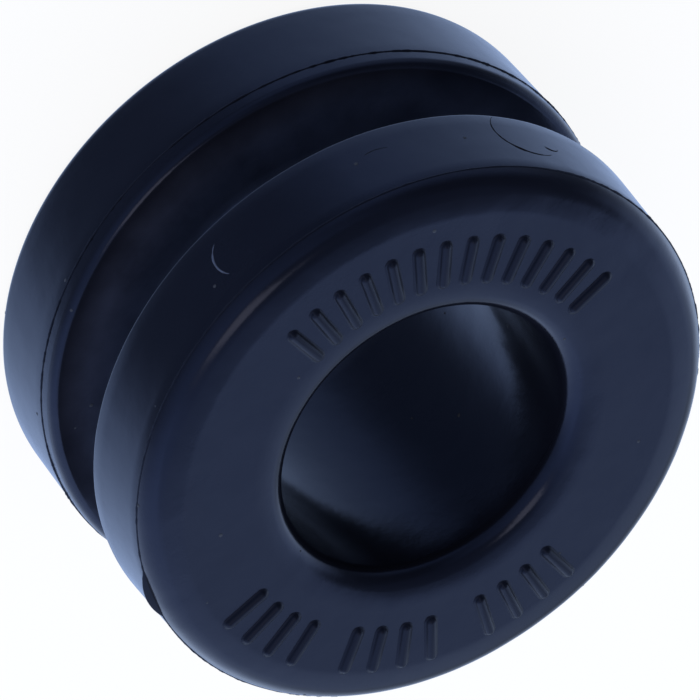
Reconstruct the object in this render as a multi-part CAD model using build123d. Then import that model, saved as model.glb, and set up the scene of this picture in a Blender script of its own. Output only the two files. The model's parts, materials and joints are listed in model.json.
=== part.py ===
from build123d import *

import math
import os

# Shift rod bushing: one moulded rubber grommet shaped like a spool. Two thick
# flanges sit either side of a deep groove that grips the edge of a sheet lever,
# and the shift rod's pin goes through the bore.
# Millimetres. +Z runs along the bore from the rear face, on z = 0, to the front face.

# Bore, with a broad rounded lip at the front and a small chamfer at the rear
bore_radius = 6.0
front_lip_radius = 1.05
rear_lip_chamfer = 0.2

# Rear flange: nearly straight outside. Above its parting line stands a narrow land
# with a little draft of its own, which a small rounded corner joins to the groove.
rear_flange_radius = 12.15
rear_flange_draft = 0.05
rear_rim_height = 4.0
rear_edge_chamfer = 0.35
rear_land_height = 0.3
rear_land_draft = 0.04
rear_corner_radius = 0.32

# Groove for the lever
groove_width = 4.09
neck_radius = 8.3
neck_chamfer = 0.3

# Front flange: slightly tapered outside, broad rounded shoulder round the face
front_flange_radius = 12.2
front_flange_taper = 0.15
front_rim_height = 3.65
front_edge_chamfer = 0.15
front_shoulder_radius = 1.15

# The front shoulder leaves its parting line with a crease: the angle between the
# bore's axis and the shoulder's first normal is less than 90 degrees.
shoulder_start_angle = 71.5

# Flash left at each parting line: a thin fin that stands proud of the rim
flash_height = 0.07
flash_thickness = 0.06

# Raised bars on the front face, in an upper arc and three groups in a lower arc
mark_height = 0.2
mark_width = 0.45
mark_length = 2.1
upper_mark_radius = 8.45
upper_mark_count = 14
upper_mark_start = -174.0
upper_mark_sweep = 92.0
lower_mark_radius = 9.4
lower_mark_groups = 3
lower_marks_per_group = 4
lower_mark_pitch = 7.2
lower_group_start = 2.0
lower_group_pitch = 36.0


# The front shoulder's arc, from its crease up and in to the flat face
shoulder_lean = math.radians(shoulder_start_angle)
shoulder_rise = front_shoulder_radius * (1 - math.cos(shoulder_lean))
shoulder_reach = front_shoulder_radius * math.sin(shoulder_lean)

# Heights of the profile, worked up from the rear face
groove_rear = rear_rim_height + rear_land_height + rear_corner_radius
groove_front = groove_rear + groove_width
front_crease_height = groove_front + front_rim_height
front_face = front_crease_height + shoulder_rise

# The two creases of the parting lines, as places in the half section
rear_crease = (rear_flange_radius, rear_rim_height)
front_crease = (front_flange_radius - front_flange_taper, front_crease_height)


def rear_flange_lines():
    """Section of the rear flange, from the bore's rear end to the groove."""
    wall_radius = rear_flange_radius - rear_flange_draft
    land_end = (rear_flange_radius - rear_land_draft, rear_rim_height + rear_land_height)
    corner_end = (land_end[0] - rear_corner_radius, groove_rear)
    Polyline(
        (bore_radius, rear_lip_chamfer),
        (bore_radius + rear_lip_chamfer, 0),
        (wall_radius - rear_edge_chamfer, 0),
        (wall_radius, rear_edge_chamfer),
        rear_crease,
        land_end,
    )
    RadiusArc(land_end, corner_end, -rear_corner_radius)
    Line(corner_end, (neck_radius + neck_chamfer, groove_rear))


def neck_lines():
    """Section of the groove's floor between its two broken corners."""
    Polyline(
        (neck_radius + neck_chamfer, groove_rear),
        (neck_radius, groove_rear + neck_chamfer),
        (neck_radius, groove_front - neck_chamfer),
        (neck_radius + neck_chamfer, groove_front),
    )


def front_flange_lines():
    """Section of the front flange, from the groove to the bore's wall and back along it."""
    shoulder_end = (front_crease[0] - shoulder_reach, front_face)
    Polyline(
        (neck_radius + neck_chamfer, groove_front),
        (front_flange_radius - front_edge_chamfer, groove_front),
        (front_flange_radius, groove_front + front_edge_chamfer),
        front_crease,
    )
    lip_start = (bore_radius + front_lip_radius, front_face)
    lip_end = (bore_radius, front_face - front_lip_radius)
    RadiusArc(front_crease, shoulder_end, -front_shoulder_radius)
    Line(shoulder_end, lip_start)
    RadiusArc(lip_start, lip_end, -front_lip_radius)
    Line(lip_end, (bore_radius, rear_lip_chamfer))


def spool_section():
    """Half section of the spool in the XZ plane, with its two flash fins."""
    with BuildSketch(Plane.XZ) as section:
        with BuildLine():
            rear_flange_lines()
            neck_lines()
            front_flange_lines()
        make_face()
        # Each fin is centred on its crease, so that half of it stands out
        with Locations(rear_crease, front_crease):
            Rectangle(2 * flash_height, flash_thickness)
    return section.sketch


def bar_places():
    """Angle and radius of every raised bar on the front face."""
    upper_pitch = upper_mark_sweep / (upper_mark_count - 1)
    for index in range(upper_mark_count):
        yield upper_mark_start + index * upper_pitch, upper_mark_radius
    for group in range(lower_mark_groups):
        for index in range(lower_marks_per_group):
            angle = lower_group_start + group * lower_group_pitch + index * lower_mark_pitch
            yield angle, lower_mark_radius


def raised_bars():
    """The bars, each lying along a radius of the bore."""
    with BuildPart() as bars:
        with BuildSketch(Plane.XY.offset(front_face - mark_height)):
            for angle, radius in bar_places():
                with Locations(Rot(0, 0, angle) * Pos(radius, 0)):
                    Rectangle(mark_length, mark_width)
        extrude(amount=2 * mark_height)
    return bars.part


def make_bushing():
    """The moulded spool with its raised bars, as one solid."""
    with BuildPart() as bushing:
        add(spool_section())
        revolve(axis=Axis.Z)
        add(raised_bars())
    bushing.part.label = "bushing"
    return bushing.part


os.makedirs("parts", exist_ok=True)
export_step(make_bushing(), "parts/bushing.step")
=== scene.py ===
import json
import math

import bpy
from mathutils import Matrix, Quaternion, Vector


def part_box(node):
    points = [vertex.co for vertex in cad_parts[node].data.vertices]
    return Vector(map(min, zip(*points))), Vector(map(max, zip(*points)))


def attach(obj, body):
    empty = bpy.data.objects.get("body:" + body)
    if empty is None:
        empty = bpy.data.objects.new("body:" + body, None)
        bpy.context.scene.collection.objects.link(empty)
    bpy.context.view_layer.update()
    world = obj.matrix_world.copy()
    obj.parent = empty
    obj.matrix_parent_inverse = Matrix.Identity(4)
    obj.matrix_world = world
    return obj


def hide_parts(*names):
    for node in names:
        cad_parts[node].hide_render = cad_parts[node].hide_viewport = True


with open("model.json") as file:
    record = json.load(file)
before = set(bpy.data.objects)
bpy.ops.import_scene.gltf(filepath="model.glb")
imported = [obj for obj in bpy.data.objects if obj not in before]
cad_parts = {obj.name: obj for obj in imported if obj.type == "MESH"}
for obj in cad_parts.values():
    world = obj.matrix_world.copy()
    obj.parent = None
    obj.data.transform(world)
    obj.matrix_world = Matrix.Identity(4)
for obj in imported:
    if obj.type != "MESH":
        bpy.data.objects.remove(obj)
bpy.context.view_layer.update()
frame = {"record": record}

MM = 0.001

# ---------------------------------------------------------------------------
# Sizes of the bushing. The overall ones come from the frame, the rest are the
# moulding's own radii and steps.
# ---------------------------------------------------------------------------
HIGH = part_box("bushing")[1]
MOUNTS = {mount["name"]: mount for mount in frame["record"]["mounts"]}

BORE_RADIUS = MOUNTS["bore"]["dims"]["r_mm"] * MM
NECK_RADIUS = MOUNTS["groove_neck"]["dims"]["r_mm"] * MM
GROOVE_WIDTH = MOUNTS["groove_neck"]["dims"]["length_mm"] * MM
FLASH_HEIGHT = 0.07 * MM
MARK_HEIGHT = 0.2 * MM
FRONT_FACE = HIGH.z - MARK_HEIGHT

REAR_LIP = 0.3 * MM
REAR_EDGE = 0.5 * MM
NECK_CORNER = 0.45 * MM
FRONT_EDGE = 0.2 * MM
REAR_RIM_HEIGHT = 4.0 * MM
REAR_LAND = 0.4 * MM
REAR_LAND_DRAFT = 0.04 * MM
REAR_CORNER = 0.4 * MM
FRONT_SHOULDER = 1.15 * MM
SHOULDER_START = 71.5

# The front face rolls over softly before its shoulder, and before the small lip of the
# bore. Each stage is an arc: its radius, and the lean off +Z, in degrees, that its
# normal ends with.
SHOULDER_ROLL = ((8.2 * MM, 5.0), (2.5 * MM, 0.0))
SHOULDER_ROLL_START = 9.5
FRONT_LIP = ((6.5 * MM, -3.5), (5.0 * MM, -9.0), (0.85 * MM, -90.0))

REAR_FLANGE_RADIUS = HIGH.x - FLASH_HEIGHT
REAR_WALL_RADIUS = REAR_FLANGE_RADIUS - 0.05 * MM
FRONT_FLANGE_RADIUS = REAR_FLANGE_RADIUS + 0.05 * MM
FRONT_CREASE_RADIUS = FRONT_FLANGE_RADIUS - 0.15 * MM
FRONT_RIM_HEIGHT = 3.65 * MM


def rise(radius, start, end=0.0):
    """Height that an arc gains while its normal's lean off +Z goes from start to end."""
    return radius * (math.cos(math.radians(end)) - math.cos(math.radians(start)))


FRONT_CREASE = FRONT_FACE - rise(FRONT_SHOULDER, SHOULDER_START)
GROOVE_FRONT = FRONT_CREASE - FRONT_RIM_HEIGHT
GROOVE_REAR = GROOVE_FRONT - GROOVE_WIDTH
REAR_CREASE = REAR_RIM_HEIGHT


# ---------------------------------------------------------------------------
# Geometry Nodes helpers
# ---------------------------------------------------------------------------
class Tree:
    """A node group that is written top down: add() makes a node and wires its inputs."""

    def __init__(self, name):
        self.group = bpy.data.node_groups.new(name, "GeometryNodeTree")
        self.group.interface.new_socket("Geometry", in_out="INPUT", socket_type="NodeSocketGeometry")
        self.group.interface.new_socket("Geometry", in_out="OUTPUT", socket_type="NodeSocketGeometry")
        self.source = self.group.nodes.new("NodeGroupInput")
        self.target = self.group.nodes.new("NodeGroupOutput")

    def size(self, name, kind="NodeSocketFloat"):
        """A named input of the tree."""
        self.group.interface.new_socket(name, in_out="INPUT", socket_type=kind)
        return self.source.outputs[name]

    def geometry(self):
        return self.source.outputs["Geometry"]

    def add(self, kind, wires=None, **settings):
        node = self.group.nodes.new(kind)
        for name, value in settings.items():
            setattr(node, name, value)
        for key, value in (wires or {}).items():
            if isinstance(value, bpy.types.NodeSocket):
                self.group.links.new(value, node.inputs[key])
            else:
                node.inputs[key].default_value = value
        return node

    def maths(self, operation, *values):
        return self.add("ShaderNodeMath", dict(enumerate(values)), operation=operation).outputs[0]

    def finish(self, geometry, material):
        """Every tree ends by realizing its instances and setting its material."""
        real = self.add("GeometryNodeRealizeInstances", {"Geometry": geometry})
        dressed = self.add("GeometryNodeSetMaterial", {"Geometry": real.outputs[0], "Material": material})
        self.group.links.new(dressed.outputs[0], self.target.inputs["Geometry"])
        return self.group


def new_object(name, mesh):
    piece = bpy.data.objects.new(name, mesh)
    bpy.context.scene.collection.objects.link(piece)
    return piece


def grown(name, seed_mesh, tree, sizes, material, sharp_from=35.0):
    """Runs a tree on a seed mesh and keeps the result as a plain mesh object."""
    seed = new_object(name + "_seed", seed_mesh)
    modifier = seed.modifiers.new("grow", "NODES")
    modifier.node_group = tree
    for item in tree.interface.items_tree:
        if item.item_type == "SOCKET" and item.in_out == "INPUT" and item.name in sizes:
            modifier[item.identifier] = sizes[item.name]
    depsgraph = bpy.context.evaluated_depsgraph_get()
    mesh = bpy.data.meshes.new_from_object(seed.evaluated_get(depsgraph), depsgraph=depsgraph)
    bpy.data.objects.remove(seed)
    mesh.name = name
    if not mesh.materials:
        mesh.materials.append(material)
    mesh.shade_smooth()
    mesh.set_sharp_from_angle(angle=math.radians(sharp_from))
    return new_object(name, mesh)


# ---------------------------------------------------------------------------
# Rubber
# ---------------------------------------------------------------------------
def shader(name):
    material = bpy.data.materials.new(name)
    material.use_nodes = True
    nodes = material.node_tree.nodes
    return material, nodes, material.node_tree.links, nodes["Principled BSDF"]


def noise(nodes, links, coordinates, scale, detail=2.0, roughness=0.5):
    node = nodes.new("ShaderNodeTexNoise")
    node.inputs["Scale"].default_value = scale
    node.inputs["Detail"].default_value = detail
    node.inputs["Roughness"].default_value = roughness
    links.new(coordinates, node.inputs["Vector"])
    return node.outputs["Fac"]


def span(nodes, links, value, from_low, from_high, to_low, to_high):
    node = nodes.new("ShaderNodeMapRange")
    node.inputs["From Min"].default_value = from_low
    node.inputs["From Max"].default_value = from_high
    node.inputs["To Min"].default_value = to_low
    node.inputs["To Max"].default_value = to_high
    links.new(value, node.inputs["Value"])
    return node.outputs["Result"]


def calculated(nodes, links, operation, *values):
    """A maths node on numbers and on the outputs of other nodes."""
    node = nodes.new("ShaderNodeMath")
    node.operation = operation
    for slot, value in enumerate(values):
        if isinstance(value, bpy.types.NodeSocket):
            links.new(value, node.inputs[slot])
        else:
            node.inputs[slot].default_value = value
    return node.outputs[0]


def toned(nodes, links, value, low, dark, high, pale):
    """A colour that turns from dark to pale while the value goes from low to high."""
    ramp = nodes.new("ShaderNodeValToRGB")
    first, last = ramp.color_ramp.elements
    first.position = low
    first.color = (*dark, 1)
    last.position = high
    last.color = (*pale, 1)
    links.new(value, ramp.inputs["Fac"])
    return ramp.outputs["Color"]


def bumped(nodes, links, height, strength, distance, beneath=None):
    """A normal with bumps, on top of those of another one."""
    node = nodes.new("ShaderNodeBump")
    node.inputs["Strength"].default_value = strength
    node.inputs["Distance"].default_value = distance
    links.new(height, node.inputs["Height"])
    if beneath:
        links.new(beneath, node.inputs["Normal"])
    return node.outputs["Normal"]


DARK_TONE = (0.0030, 0.0033, 0.0055)
PALE_TONE = (0.0041, 0.0044, 0.0072)
# Painted light: the pale colour that is added in the groove to lift its shade
GROOVE_PAINTED_LIGHT = (0.025, 0.028, 0.044)


def painted_groove_light(nodes, links, place):
    """Painted light in the groove: a pale colour, in patches, added to the rubber's own to lift the groove's
    shade.
    """
    axes = nodes.new("ShaderNodeSeparateXYZ")
    links.new(place, axes.inputs["Vector"])
    flat = nodes.new("ShaderNodeVectorMath")
    flat.operation = "MULTIPLY"
    flat.inputs[1].default_value = (1, 1, 0)
    links.new(place, flat.inputs[0])
    reach = nodes.new("ShaderNodeVectorMath")
    reach.operation = "LENGTH"
    links.new(flat.outputs["Vector"], reach.inputs[0])
    inside = span(nodes, links, reach.outputs["Value"], 12.0 * MM, 10.5 * MM, 0.0, 1.0)
    above = span(nodes, links, axes.outputs["Z"], GROOVE_REAR - 0.3 * MM, GROOVE_REAR, 0.0, 1.0)
    beneath = span(nodes, links, axes.outputs["Z"], GROOVE_FRONT, GROOVE_FRONT + 0.2 * MM, 1.0, 0.0)
    outside = span(nodes, links, reach.outputs["Value"], BORE_RADIUS, NECK_RADIUS, 0.0, 1.0)
    patchy = span(nodes, links, noise(nodes, links, place, 500.0, 4.0, 0.6), 0.3, 0.7, 0.5, 1.0)
    amount = patchy
    for share in (inside, above, beneath, outside):
        amount = calculated(nodes, links, "MULTIPLY", amount, share)
    painted_lift = nodes.new("ShaderNodeVectorMath")
    painted_lift.operation = "SCALE"
    painted_lift.inputs[0].default_value = GROOVE_PAINTED_LIGHT
    links.new(amount, painted_lift.inputs["Scale"])
    return painted_lift.outputs["Vector"]


def moulded_rubber(name, smoothest, roughest, specular):
    """Blue-black rubber with the satin skin of its mould, and painted light that lifts the shade in its
    groove.
    """
    material, nodes, links, principled = shader(name)
    place = nodes.new("ShaderNodeTexCoord").outputs["Object"]

    mottle = noise(nodes, links, place, 260.0, 4.0, 0.6)
    tone_and_painted_light = nodes.new("ShaderNodeVectorMath")
    tone_and_painted_light.operation = "ADD"
    links.new(toned(nodes, links, mottle, 0.35, DARK_TONE, 0.7, PALE_TONE), tone_and_painted_light.inputs[0])
    # painted light in the groove, added on top of the rubber's tone
    links.new(painted_groove_light(nodes, links, place), tone_and_painted_light.inputs[1])
    links.new(tone_and_painted_light.outputs["Vector"], principled.inputs["Base Color"])

    grain = noise(nodes, links, place, 420.0, 5.0, 0.65)
    links.new(span(nodes, links, grain, 0.3, 0.7, smoothest, roughest), principled.inputs["Roughness"])

    skin = bumped(nodes, links, noise(nodes, links, place, 7000.0, 3.0, 0.6), 0.12, 0.02 * MM)
    peel = bumped(nodes, links, noise(nodes, links, place, 900.0, 2.0, 0.5), 0.2, 0.05 * MM, skin)
    links.new(peel, principled.inputs["Normal"])

    principled.inputs["IOR"].default_value = 1.2
    principled.inputs["Specular IOR Level"].default_value = specular
    principled.inputs["Specular Tint"].default_value = (0.42, 0.54, 1.0, 1)
    return material


RUBBER = moulded_rubber("moulded_rubber", 0.16, 0.21, 0.8)
MATT_RUBBER = moulded_rubber("matt_rubber", 0.40, 0.48, 0.6)


# ---------------------------------------------------------------------------
# Moulded body: the half section is turned round the bore's axis
# ---------------------------------------------------------------------------
def arc(centre_r, centre_z, radius, start, end, steps):
    """Points of an arc in the half section, angles in degrees from +r towards +Z."""
    for step in range(steps + 1):
        angle = math.radians(start + (end - start) * step / steps)
        yield centre_r + radius * math.cos(angle), centre_z + radius * math.sin(angle)


def tangent_arcs(place, lean, stages, steps):
    """Arcs that follow each other smoothly from a place; each stage is a radius and the lean it ends with."""
    for radius, end in stages:
        centre_r = place[0] - radius * math.sin(math.radians(lean))
        centre_z = place[1] - radius * math.cos(math.radians(lean))
        points = list(arc(centre_r, centre_z, radius, 90 - lean, 90 - end, steps))
        yield from points[:-1]
        place = points[-1]
        lean = end
    yield place


def filled(points, longest=0.6 * MM):
    """The same outline, with its long straight stretches divided evenly."""
    points = list(points)
    for near, far in zip(points, points[1:] + points[:1]):
        pieces = max(1, math.ceil(math.dist(near, far) / longest))
        for piece in range(pieces):
            share = piece / pieces
            yield near[0] + (far[0] - near[0]) * share, near[1] + (far[1] - near[1]) * share


def rear_flange_points():
    """From the bore's rear lip, round the rear flange, to the groove's floor."""
    yield from arc(BORE_RADIUS + REAR_LIP, REAR_LIP, REAR_LIP, 180, 270, 6)
    yield from arc(REAR_WALL_RADIUS - REAR_EDGE, REAR_EDGE, REAR_EDGE, 270, 360, 8)
    yield REAR_FLANGE_RADIUS, REAR_CREASE
    corner_r = REAR_FLANGE_RADIUS - REAR_LAND_DRAFT - REAR_CORNER
    yield from arc(corner_r, REAR_CREASE + REAR_LAND, REAR_CORNER, 0, 90, 12)
    yield from arc(NECK_RADIUS + NECK_CORNER, GROOVE_REAR + NECK_CORNER, NECK_CORNER, 270, 180, 5)


def front_flange_points():
    """From the groove's floor, round the front flange and its face, to the bore's front lip."""
    yield from arc(NECK_RADIUS + NECK_CORNER, GROOVE_FRONT - NECK_CORNER, NECK_CORNER, 180, 90, 5)
    yield from arc(FRONT_FLANGE_RADIUS - FRONT_EDGE, GROOVE_FRONT + FRONT_EDGE, FRONT_EDGE, 270, 360, 5)

    # The shoulder's own radius takes up the height that its roll leaves
    left = FRONT_FACE - FRONT_CREASE
    lean = SHOULDER_ROLL_START
    for radius, end in SHOULDER_ROLL:
        left -= rise(radius, lean, end)
        lean = end
    shoulder = left / rise(1.0, SHOULDER_START, SHOULDER_ROLL_START)
    stages = ((shoulder, SHOULDER_ROLL_START), *SHOULDER_ROLL)
    yield from tangent_arcs((FRONT_CREASE_RADIUS, FRONT_CREASE), SHOULDER_START, stages, 14)

    reach = 0.0
    lean = 0.0
    for radius, end in FRONT_LIP:
        reach += radius * (math.sin(math.radians(lean)) - math.sin(math.radians(end)))
        lean = end
    yield from tangent_arcs((BORE_RADIUS + reach, FRONT_FACE), 0.0, FRONT_LIP, 12)


def section_mesh(name, points, shares):
    """A closed section: its points, and how far each takes part in a ragged edge."""
    points = list(points)
    shares = list(shares)
    mesh = bpy.data.meshes.new(name)
    mesh.from_pydata([(r, 0, z) for r, z in points + points[:1]], [], [])
    share = mesh.attributes.new("ragged", "FLOAT", "POINT")
    share.data.foreach_set("value", shares + shares[:1])
    return mesh


def sampled(tree, value, index, data_type):
    """A value of the seed section's point with the given index."""
    return tree.add(
        "GeometryNodeSampleIndex",
        {"Geometry": tree.geometry(), "Value": value, "Index": index},
        data_type=data_type,
    ).outputs["Value"]


def wobble(tree, place, pitch, low, high, detail=2.0):
    """Noise at a place, stretched so that low gives 0 and high gives 1."""
    fac = tree.add(
        "ShaderNodeTexNoise", {"Vector": place, "Scale": pitch, "Detail": detail, "Roughness": 0.6}
    ).outputs["Fac"]
    return tree.add(
        "ShaderNodeMapRange", {"Value": fac, "From Min": low, "From Max": high}
    ).outputs["Result"]


def turning_tree():
    """Turns a section's points into a closed ring, slumps it slightly and frays its ragged points."""
    tree = Tree("turned_ring")
    segments = tree.size("Segments", "NodeSocketInt")
    slump = tree.size("Slump")
    slump_pitch = tree.size("Slump Pitch")
    tooth_height = tree.size("Tooth Height")
    tooth_pitch = tree.size("Tooth Pitch")
    tag_height = tree.size("Tag Height")
    tag_angle = tree.size("Tag Angle")
    tag_span = tree.size("Tag Span")
    weld = tree.size("Weld")
    rubber = tree.size("Material", "NodeSocketMaterial")

    rows = tree.add(
        "GeometryNodeAttributeDomainSize", {"Geometry": tree.geometry()}, component="MESH"
    ).outputs["Point Count"]
    columns = tree.maths("ADD", segments, 1)
    sheet = tree.add(
        "GeometryNodeMeshGrid",
        {"Size X": 1.0, "Size Y": 1.0, "Vertices X": columns, "Vertices Y": rows},
    ).outputs["Mesh"]
    index = tree.add("GeometryNodeInputIndex").outputs[0]
    row = tree.maths("MODULO", index, rows)
    column = tree.maths("FLOOR", tree.maths("DIVIDE", index, rows))
    angle = tree.maths("MULTIPLY", tree.maths("DIVIDE", column, segments), math.tau)
    point = sampled(tree, tree.add("GeometryNodeInputPosition").outputs[0], row, "FLOAT_VECTOR")
    ragged = tree.add("GeometryNodeInputNamedAttribute", {"Name": "ragged"}).outputs[0]
    share = sampled(tree, ragged, row, "FLOAT")
    split = tree.add("ShaderNodeSeparateXYZ", {"Vector": point})
    outward = tree.add(
        "ShaderNodeCombineXYZ", {"X": tree.maths("COSINE", angle), "Y": tree.maths("SINE", angle)}
    ).outputs[0]

    def at(radius, height):
        """The place at a radius and a height, on this column's side."""
        flat = tree.add("ShaderNodeVectorMath", {0: outward, "Scale": radius}, operation="SCALE").outputs[0]
        up = tree.add("ShaderNodeCombineXYZ", {"Z": height}).outputs[0]
        return tree.add("ShaderNodeVectorMath", {0: flat, 1: up}, operation="ADD").outputs[0]

    # Teeth come in runs: a slow noise opens and closes the quick one
    rim = at(split.outputs["X"], split.outputs["Z"])
    teeth = tree.maths(
        "MULTIPLY",
        wobble(tree, rim, tooth_pitch, 0.42, 0.66, 3.0),
        wobble(tree, rim, tree.maths("MULTIPLY", tooth_pitch, 0.2), 0.38, 0.55),
    )
    off_tag = tree.maths("DIVIDE", tree.maths("SUBTRACT", angle, tag_angle), tag_span)
    tag = tree.maths("MAXIMUM", tree.maths("SUBTRACT", 1.0, tree.maths("MULTIPLY", off_tag, off_tag)), 0.0)
    torn = tree.maths(
        "ADD", tree.maths("MULTIPLY", teeth, tooth_height), tree.maths("MULTIPLY", tag, tag_height)
    )
    frayed = tree.maths("MULTIPLY_ADD", torn, share, split.outputs["X"])
    ring = tree.add(
        "GeometryNodeSetPosition", {"Geometry": sheet, "Position": at(frayed, split.outputs["Z"])}
    ).outputs[0]
    closed = tree.add("GeometryNodeMergeByDistance", {"Geometry": ring, "Distance": weld}).outputs[0]

    place = tree.add("GeometryNodeInputPosition").outputs[0]
    height = tree.add("ShaderNodeSeparateXYZ", {"Vector": place}).outputs["Z"]
    off_floor = tree.add("ShaderNodeMapRange", {"Value": height, "From Max": 1.0 * MM}).outputs["Result"]
    uneven = tree.maths("SUBTRACT", wobble(tree, place, slump_pitch, 0.3, 0.7), 0.5)
    sag = tree.maths("MULTIPLY", uneven, off_floor)
    shift = tree.add(
        "ShaderNodeVectorMath",
        {
            0: tree.add("GeometryNodeInputNormal").outputs[0],
            "Scale": tree.maths("MULTIPLY", sag, slump),
        },
        operation="SCALE",
    ).outputs[0]
    slumped = tree.add("GeometryNodeSetPosition", {"Geometry": closed, "Offset": shift}).outputs[0]
    return tree.finish(slumped, rubber)


TURNING = turning_tree()
PLAIN_RING = {
    "Slump": 0.0,
    "Slump Pitch": 240.0,
    "Tooth Height": 0.0,
    "Tooth Pitch": 2600.0,
    "Tag Height": 0.0,
    "Tag Angle": 0.0,
    "Tag Span": 1.0,
    "Weld": 0.001 * MM,
    "Material": RUBBER,
}


BODY_SEGMENTS = 520
FIN_SEGMENTS = 1500
BODY_SLUMP = 0.02 * MM
FIN_ROOT = 0.1 * MM
FIN_HALF = 0.03 * MM
FIN_TEETH = 0.035 * MM


def moulded_body():
    points = list(filled([*rear_flange_points(), *front_flange_points()]))
    section = section_mesh("half_section", points, [0.0] * len(points))
    sizes = {**PLAIN_RING, "Segments": BODY_SEGMENTS, "Slump": BODY_SLUMP}
    piece = grown("moulded_body", section, TURNING, sizes, RUBBER)
    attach(piece, "root")
    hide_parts("bushing")
    return piece


def flash_fin(name, crease_r, crease_z, **ragged):
    """The thin torn fin that the mould's parting line leaves on a crease."""
    foot = crease_r - FIN_ROOT
    tip = arc(crease_r, crease_z, FIN_HALF, -90, 90, 4)
    points = [(foot, crease_z - FIN_HALF), *tip, (foot, crease_z + FIN_HALF)]
    shares = [0.0] + [1.0] * (len(points) - 2) + [0.0]
    own = {"Segments": FIN_SEGMENTS, "Tooth Height": FIN_TEETH, "Material": MATT_RUBBER}
    sizes = {**PLAIN_RING, **own, **ragged}
    piece = grown(name, section_mesh(name, points, shares), TURNING, sizes, MATT_RUBBER, 60.0)
    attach(piece, "root")


BODY = moulded_body()
flash_fin("rear_flash", REAR_FLANGE_RADIUS, REAR_CREASE)
flash_fin(
    "front_flash",
    FRONT_CREASE_RADIUS,
    FRONT_CREASE,
    **{"Tag Height": 0.24 * MM, "Tag Angle": math.radians(360 - 13), "Tag Span": math.radians(6)},
)


# ---------------------------------------------------------------------------
# Raised bars on the front face
# ---------------------------------------------------------------------------
BAR_LENGTH = 2.1 * MM
BAR_WIDTH = 0.45 * MM
BAR_ROOT = 0.07 * MM


def bar_outline(length, width, steps=5):
    """Points of a bar with round ends, counter-clockwise."""
    corner = width / 2
    for quarter in range(4):
        side_x = 1 if quarter in (0, 3) else -1
        side_y = 1 if quarter in (0, 1) else -1
        for step in range(steps + 1):
            angle = math.pi / 2 * (quarter + step / steps)
            x = side_x * (length / 2 - corner) + corner * math.cos(angle)
            y = side_y * (width / 2 - corner) + corner * math.sin(angle)
            yield x, y


def bar_mesh():
    """One bar lying along X, half-round and round-ended, with a filleted root."""
    length, width, root = BAR_LENGTH, BAR_WIDTH, BAR_ROOT
    rings = [(root, -0.03 * MM), (root, 0.0), (0.35 * root, 0.25 * root)]
    for lean in (10, 25, 40, 55, 70, 82):
        turn = math.radians(lean)
        rings.append((-0.5 * width * (1 - math.cos(turn)), MARK_HEIGHT * math.sin(turn)))
    verts = []
    for grow, height in rings:
        outline = bar_outline(length + 2 * grow, width + 2 * grow)
        verts.extend((x, y, height) for x, y in outline)
    count = len(verts) // len(rings)
    faces = []
    for ring in range(len(rings) - 1):
        low = ring * count
        for index in range(count):
            following = (index + 1) % count
            faces.append((low + index, low + following, low + count + following, low + count + index))
    faces.append(tuple(range((len(rings) - 1) * count, len(rings) * count)))
    faces.append(tuple(reversed(range(count))))
    mesh = bpy.data.meshes.new("bar")
    mesh.from_pydata(verts, [], faces)
    return mesh


def bars_tree():
    """Copies one bar round an arc, in evenly spaced groups."""
    tree = Tree("bars_on_arc")
    groups = tree.size("Groups", "NodeSocketInt")
    per_group = tree.size("Per Group", "NodeSocketInt")
    start = tree.size("Start")
    bar_pitch = tree.size("Bar Pitch")
    group_pitch = tree.size("Group Pitch")
    radius = tree.size("Radius")
    height = tree.size("Height")
    rubber = tree.size("Material", "NodeSocketMaterial")

    points = tree.add("GeometryNodePoints", {"Count": tree.maths("MULTIPLY", groups, per_group)}).outputs[0]
    index = tree.add("GeometryNodeInputIndex").outputs[0]
    group = tree.maths("FLOOR", tree.maths("DIVIDE", index, per_group))
    member = tree.maths("MODULO", index, per_group)
    along = tree.maths("MULTIPLY_ADD", member, bar_pitch, tree.maths("MULTIPLY", group, group_pitch))
    angle = tree.maths("ADD", start, along)
    place = tree.add(
        "ShaderNodeCombineXYZ",
        {
            "X": tree.maths("MULTIPLY", radius, tree.maths("COSINE", angle)),
            "Y": tree.maths("MULTIPLY", radius, tree.maths("SINE", angle)),
            "Z": height,
        },
    ).outputs[0]
    placed = tree.add("GeometryNodeSetPosition", {"Geometry": points, "Position": place}).outputs[0]
    turn = tree.add("ShaderNodeCombineXYZ", {"Z": angle}).outputs[0]
    bars = tree.add(
        "GeometryNodeInstanceOnPoints",
        {"Points": placed, "Instance": tree.geometry(), "Rotation": turn},
    ).outputs[0]
    return tree.finish(bars, rubber)


UPPER_BARS = 14
UPPER_SWEEP = math.radians(92.0)
UPPER_START = math.radians(-174.0)
UPPER_RADIUS = 8.45 * MM
LOWER_GROUPS = 3
LOWER_BARS = 4
LOWER_START = math.radians(2.0)
LOWER_PITCH = math.radians(7.2)
LOWER_GROUP_PITCH = math.radians(36.0)
LOWER_RADIUS = 9.4 * MM


def raised_bars():
    tree = bars_tree()
    shared = {"Height": FRONT_FACE, "Material": MATT_RUBBER}
    upper = {
        "Groups": 1,
        "Per Group": UPPER_BARS,
        "Start": UPPER_START,
        "Bar Pitch": UPPER_SWEEP / (UPPER_BARS - 1),
        "Radius": UPPER_RADIUS,
    }
    lower = {
        "Groups": LOWER_GROUPS,
        "Per Group": LOWER_BARS,
        "Start": LOWER_START,
        "Bar Pitch": LOWER_PITCH,
        "Group Pitch": LOWER_GROUP_PITCH,
        "Radius": LOWER_RADIUS,
    }
    for name, layout in (("upper_bars", upper), ("lower_bars", lower)):
        piece = grown(name, bar_mesh(), tree, {**shared, **layout}, MATT_RUBBER, 60.0)
        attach(piece, "root")


raised_bars()


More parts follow.
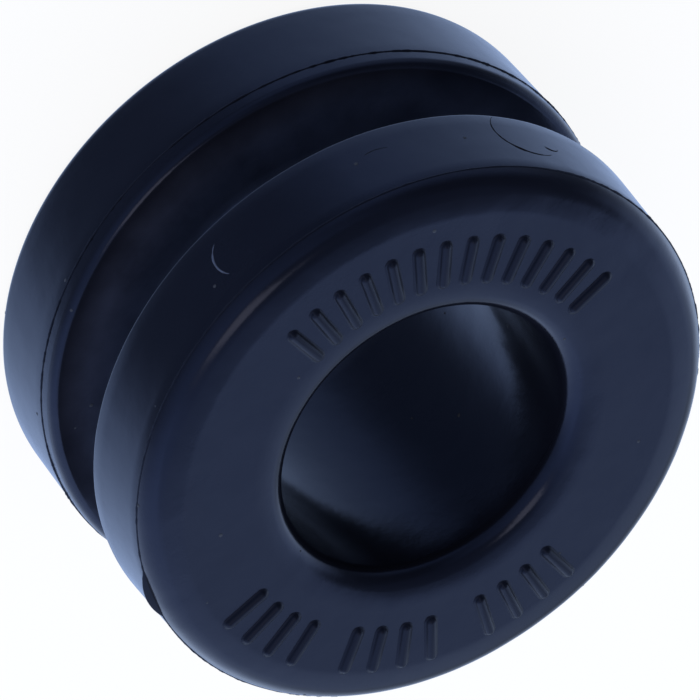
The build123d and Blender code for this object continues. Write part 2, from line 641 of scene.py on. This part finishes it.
# ---------------------------------------------------------------------------
# Scars and dust: what handling has left on the rubber
# ---------------------------------------------------------------------------
def plain_rubber(name, color, roughness):
    """A dull relative of the rubber, for torn edges and for dust."""
    material, nodes, links, principled = shader(name)
    place = nodes.new("ShaderNodeTexCoord").outputs["Object"]
    darker = [0.7 * part for part in color]
    grain = noise(nodes, links, place, 6000.0)
    links.new(toned(nodes, links, grain, 0.3, darker, 0.7, color), principled.inputs["Base Color"])
    principled.inputs["Roughness"].default_value = roughness
    principled.inputs["Specular IOR Level"].default_value = 0.15
    return material


CUT_RUBBER = plain_rubber("cut_rubber", (0.0035, 0.0035, 0.006), 0.8)
SCUFFED_RUBBER = plain_rubber("scuffed_rubber", (0.06, 0.07, 0.105), 0.6)
DUST = plain_rubber("dust", (0.030, 0.033, 0.042), 0.8)


def scar_tree():
    """Lays a thin thread of torn rubber along a line, tapered at both ends."""
    tree = Tree("scar_thread")
    width = tree.size("Width")
    rubber = tree.size("Material", "NodeSocketMaterial")
    line = tree.add("GeometryNodeMeshToCurve", {"Mesh": tree.geometry()}).outputs[0]
    factor = tree.add("GeometryNodeSplineParameter").outputs["Factor"]
    taper = tree.maths("SINE", tree.maths("MULTIPLY", factor, math.pi))
    place = tree.add("GeometryNodeInputPosition").outputs[0]
    uneven = tree.maths("MULTIPLY_ADD", wobble(tree, place, 3500.0, 0.3, 0.7), 0.7, 0.3)
    thickness = tree.maths("MULTIPLY", tree.maths("POWER", taper, 0.5), uneven)
    profile = tree.add(
        "GeometryNodeCurvePrimitiveCircle", {"Resolution": 6, "Radius": tree.maths("MULTIPLY", width, 0.5)}
    ).outputs[0]
    thread = tree.add(
        "GeometryNodeCurveToMesh",
        {"Curve": line, "Profile Curve": profile, "Scale": thickness, "Fill Caps": True},
    ).outputs[0]
    return tree.finish(thread, rubber)


def front_wall(angle, height):
    """A place on the front flange's tapered wall, at an angle in degrees and a height."""
    share = (height - GROOVE_FRONT) / FRONT_RIM_HEIGHT
    radius = FRONT_FLANGE_RADIUS + (FRONT_CREASE_RADIUS - FRONT_FLANGE_RADIUS) * share
    turn = math.radians(angle)
    return radius * math.cos(turn), radius * math.sin(turn), height


def wall_arc(angle, below_crease, radius, start, end, steps=24):
    """Points of a round scar on the front flange's wall; start and end in degrees."""
    for step in range(steps + 1):
        turn = math.radians(start + (end - start) * step / steps)
        lean = math.degrees(radius * math.cos(turn) / FRONT_FLANGE_RADIUS)
        yield front_wall(angle + lean, FRONT_CREASE - below_crease + radius * math.sin(turn))


def scars():
    tree = scar_tree()
    marks = (
        ("half_moon_cut", wall_arc(-148.0, 2.45 * MM, 1.4 * MM, -50, 118), 0.08 * MM, CUT_RUBBER),
        ("short_cut", wall_arc(-152.5, 2.0 * MM, 0.4 * MM, 30, 150, 10), 0.07 * MM, CUT_RUBBER),
        ("dull_nick", wall_arc(-117.0, 0.9 * MM, 1.5 * MM, -110, -68, 10), 0.07 * MM, CUT_RUBBER),
        ("pale_scuff", wall_arc(-87.0, 1.75 * MM, 1.22 * MM, -56, 36), 0.12 * MM, SCUFFED_RUBBER),
    )
    for name, points, width, material in marks:
        line = list(points)
        mesh = bpy.data.meshes.new(name)
        mesh.from_pydata(line, [(index, index + 1) for index in range(len(line) - 1)], [])
        piece = grown(name, mesh, tree, {"Width": width, "Material": material}, material, 60.0)
        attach(piece, "root")


scars()


def speck_tree():
    """Scatters flat grains over a surface, except where it rests on the floor."""
    tree = Tree("scattered_specks")
    density = tree.size("Density")
    seed = tree.size("Seed", "NodeSocketInt")
    smallest = tree.size("Smallest")
    largest = tree.size("Largest")
    dust = tree.size("Material", "NodeSocketMaterial")
    place = tree.add("GeometryNodeInputPosition").outputs[0]
    height = tree.add("ShaderNodeSeparateXYZ", {"Vector": place}).outputs["Z"]
    off_floor = tree.maths("GREATER_THAN", height, largest)
    scatter = tree.add(
        "GeometryNodeDistributePointsOnFaces",
        {"Mesh": tree.geometry(), "Selection": off_floor, "Density": density, "Seed": seed},
    )
    size = tree.add(
        "FunctionNodeRandomValue", {"Min": smallest, "Max": largest, "Seed": seed}, data_type="FLOAT"
    ).outputs["Value"]
    grain = tree.add("GeometryNodeMeshIcoSphere", {"Radius": 0.5, "Subdivisions": 2}).outputs["Mesh"]
    flat = tree.add("ShaderNodeCombineXYZ", {"X": size, "Y": size, "Z": tree.maths("MULTIPLY", size, 0.2)})
    grains = tree.add(
        "GeometryNodeInstanceOnPoints",
        {
            "Points": scatter.outputs["Points"],
            "Instance": grain,
            "Rotation": scatter.outputs["Rotation"],
            "Scale": flat.outputs[0],
        },
    ).outputs[0]
    return tree.finish(grains, dust)


def dust_specks():
    sizes = {
        "Density": 30000.0,
        "Seed": 7,
        "Smallest": 0.07 * MM,
        "Largest": 0.18 * MM,
        "Material": DUST,
    }
    piece = grown("dust_specks", BODY.data.copy(), speck_tree(), sizes, DUST, 180.0)
    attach(piece, "root")


dust_specks()


# ---------------------------------------------------------------------------
# Floor, light and camera
# ---------------------------------------------------------------------------
def floor():
    half = 4.0
    mesh = bpy.data.meshes.new("floor")
    mesh.from_pydata(
        [(-half, -half, 0), (half, -half, 0), (half, half, 0), (-half, half, 0)], [], [(0, 1, 2, 3)]
    )
    piece = new_object("floor", mesh)
    material, nodes, links, principled = shader("pale_floor")
    principled.inputs["Base Color"].default_value = (0.85, 0.85, 0.85, 1)
    principled.inputs["Roughness"].default_value = 0.9
    principled.inputs["Specular IOR Level"].default_value = 0.0
    glow = nodes.new("ShaderNodeEmission")
    glow.inputs["Color"].default_value = (1, 1, 1, 1)
    glow.inputs["Strength"].default_value = 1.0
    path = nodes.new("ShaderNodeLightPath")
    blend = nodes.new("ShaderNodeMixShader")
    seen = calculated(nodes, links, "MULTIPLY", path.outputs["Is Camera Ray"], 0.9)
    links.new(seen, blend.inputs["Fac"])
    links.new(principled.outputs["BSDF"], blend.inputs[1])
    links.new(glow.outputs["Emission"], blend.inputs[2])
    links.new(blend.outputs["Shader"], nodes["Material Output"].inputs["Surface"])
    mesh.materials.append(material)
    piece.visible_glossy = False


WINDOW_LEVEL = 2.65
GROUND_IN_SHADE = 0.31


def surroundings():
    """A window wall behind and to the left, a dark flag on the right and a pale floor underneath."""
    world = bpy.data.worlds.new("studio")
    bpy.context.scene.world = world
    world.use_nodes = True
    nodes = world.node_tree.nodes
    links = world.node_tree.links
    direction = nodes.new("ShaderNodeTexCoord").outputs["Generated"]
    split = nodes.new("ShaderNodeSeparateXYZ")
    links.new(direction, split.inputs["Vector"])

    def towards(azimuth):
        """How far a direction points to a compass azimuth, counted from +Y towards +X."""
        node = nodes.new("ShaderNodeVectorMath")
        node.operation = "DOT_PRODUCT"
        turn = math.radians(azimuth)
        node.inputs[1].default_value = (math.sin(turn), math.cos(turn), 0)
        links.new(direction, node.inputs[0])
        return node.outputs["Value"]

    def maths(operation, *values):
        return calculated(nodes, links, operation, *values)

    def ramp(value, from_low, from_high, to_low, to_high):
        return span(nodes, links, value, from_low, from_high, to_low, to_high)

    def between(share, low, high):
        return maths("MULTIPLY_ADD", share, maths("SUBTRACT", high, low), low)

    def inside(value, start, full):
        return ramp(value, start, full, 0.0, 1.0)

    height = split.outputs["Z"]

    # Pale walls on the right, dark ones on the left, both dimmer towards the floor
    side = ramp(towards(110), -0.5, 0.9, 0.15, 1.4)
    haze = ramp(height, 0.0, 0.5, 0.25, 0.0)
    walls = maths("MULTIPLY_ADD", side, ramp(height, -0.1, 0.6, 0.25, 1.0), haze)
    card = maths("MULTIPLY", inside(towards(-125), 0.72, 0.94), inside(height, 0.4, 0.0))
    ceiling = ramp(towards(60), 0.1, 0.5, 0.3, 1.75)
    room = between(inside(height, 0.74, 0.82), maths("MULTIPLY_ADD", card, 0.6, walls), ceiling)

    # The window: soft upright edges, a crisp lintel, its upper left corner cut off, a mullion in
    # its middle and something low and dark behind that
    corner = maths("MULTIPLY_ADD", split.outputs["X"], -0.5, height)
    upright = inside(towards(22), -0.08, 0.42)
    lintel = maths("MULTIPLY", inside(height, 0.81, 0.76), inside(corner, 0.95, 0.78))
    window = maths("MULTIPLY", upright, lintel)
    off_middle = maths("ABSOLUTE", split.outputs["X"])
    mullion = ramp(off_middle, 0.0, 0.35, 0.68, 1.0)
    dusk = between(inside(off_middle, 0.3, 0.55), ramp(height, 0.25, 0.5, 0.4, 1.0), 1.0)
    panes = maths("MULTIPLY", mullion, dusk)
    upper = between(window, room, maths("MULTIPLY", panes, WINDOW_LEVEL))

    left_floor = ramp(split.outputs["X"], -0.35, -0.6, 0.8, 0.95)
    right_floor = ramp(split.outputs["X"], 0.3, 0.7, 0.8, 1.3)
    open_floor = maths("MAXIMUM", left_floor, right_floor)
    ground = between(inside(towards(155), 0.3, 0.6), open_floor, GROUND_IN_SHADE)

    def background(color, strength):
        node = nodes.new("ShaderNodeBackground")
        node.inputs["Color"].default_value = (*color, 1)
        if isinstance(strength, bpy.types.NodeSocket):
            links.new(strength, node.inputs["Strength"])
        else:
            node.inputs["Strength"].default_value = strength
        return node.outputs["Background"]

    def mixed(share, below, above):
        node = nodes.new("ShaderNodeMixShader")
        links.new(share, node.inputs["Fac"])
        links.new(below, node.inputs[1])
        links.new(above, node.inputs[2])
        return node.outputs["Shader"]

    nodes.remove(nodes["Background"])
    path = nodes.new("ShaderNodeLightPath")
    down = ramp(split.outputs["Z"], -0.6, -0.25, 1.0, 0.0)
    daylight = mixed(down, background((0.80, 1.0, 1.38), upper), background((0.74, 1.0, 1.6), ground))
    seen = mixed(path.outputs["Is Camera Ray"], daylight, background((1, 1, 1), 1.0))
    links.new(seen, nodes["World Output"].inputs["Surface"])


def on_sphere(azimuth, elevation, distance):
    """A place round the object; azimuth 0 is on -Y and turns towards +X."""
    a = math.radians(azimuth)
    e = math.radians(elevation)
    return Vector((math.sin(a) * math.cos(e), -math.cos(a) * math.cos(e), math.sin(e))) * distance


def soft_lamp(name, azimuth, elevation, distance, width, height, radiance, color):
    data = bpy.data.lights.new(name, "AREA")
    data.shape = "RECTANGLE"
    data.size = width
    data.size_y = height
    data.energy = radiance * width * height * math.pi
    data.color = color
    lamp = bpy.data.objects.new(name, data)
    bpy.context.scene.collection.objects.link(lamp)
    middle = Vector((0, 0, HIGH.z / 2))
    lamp.location = middle + on_sphere(azimuth, elevation, distance)
    lamp.rotation_mode = "QUATERNION"
    lamp.rotation_quaternion = (middle - lamp.location).to_track_quat("-Z", "Y")
    return lamp


def camera():
    """Looks down on the front face at half a right angle, rolled so that the bore points down right."""
    tilt = 45.1
    roll = 140.17
    distance = 301.3 * MM
    data = bpy.data.cameras.new("camera")
    data.lens = 405.3
    data.sensor_width = 36.0
    data.clip_start = 0.02
    data.clip_end = 20.0
    eye = bpy.data.objects.new("camera", data)
    bpy.context.scene.collection.objects.link(eye)
    aim = Vector((0, 0, 6.25 * MM))
    eye.location = Vector((0, 0, FRONT_CREASE)) + on_sphere(0, 90 - tilt, distance)
    look = (aim - eye.location).to_track_quat("-Z", "Y")
    eye.rotation_mode = "QUATERNION"
    eye.rotation_quaternion = look @ Quaternion((0, 0, 1), math.radians(roll))
    bpy.context.scene.camera = eye


floor()
surroundings()
soft_lamp(
    "key_lamp",
    azimuth=33,
    elevation=67,
    distance=0.40,
    width=0.134,
    height=0.18,
    radiance=4.2,
    color=(1.25, 1.0, 0.75),
)
camera()
bpy.context.scene.view_settings.view_transform = "Standard"
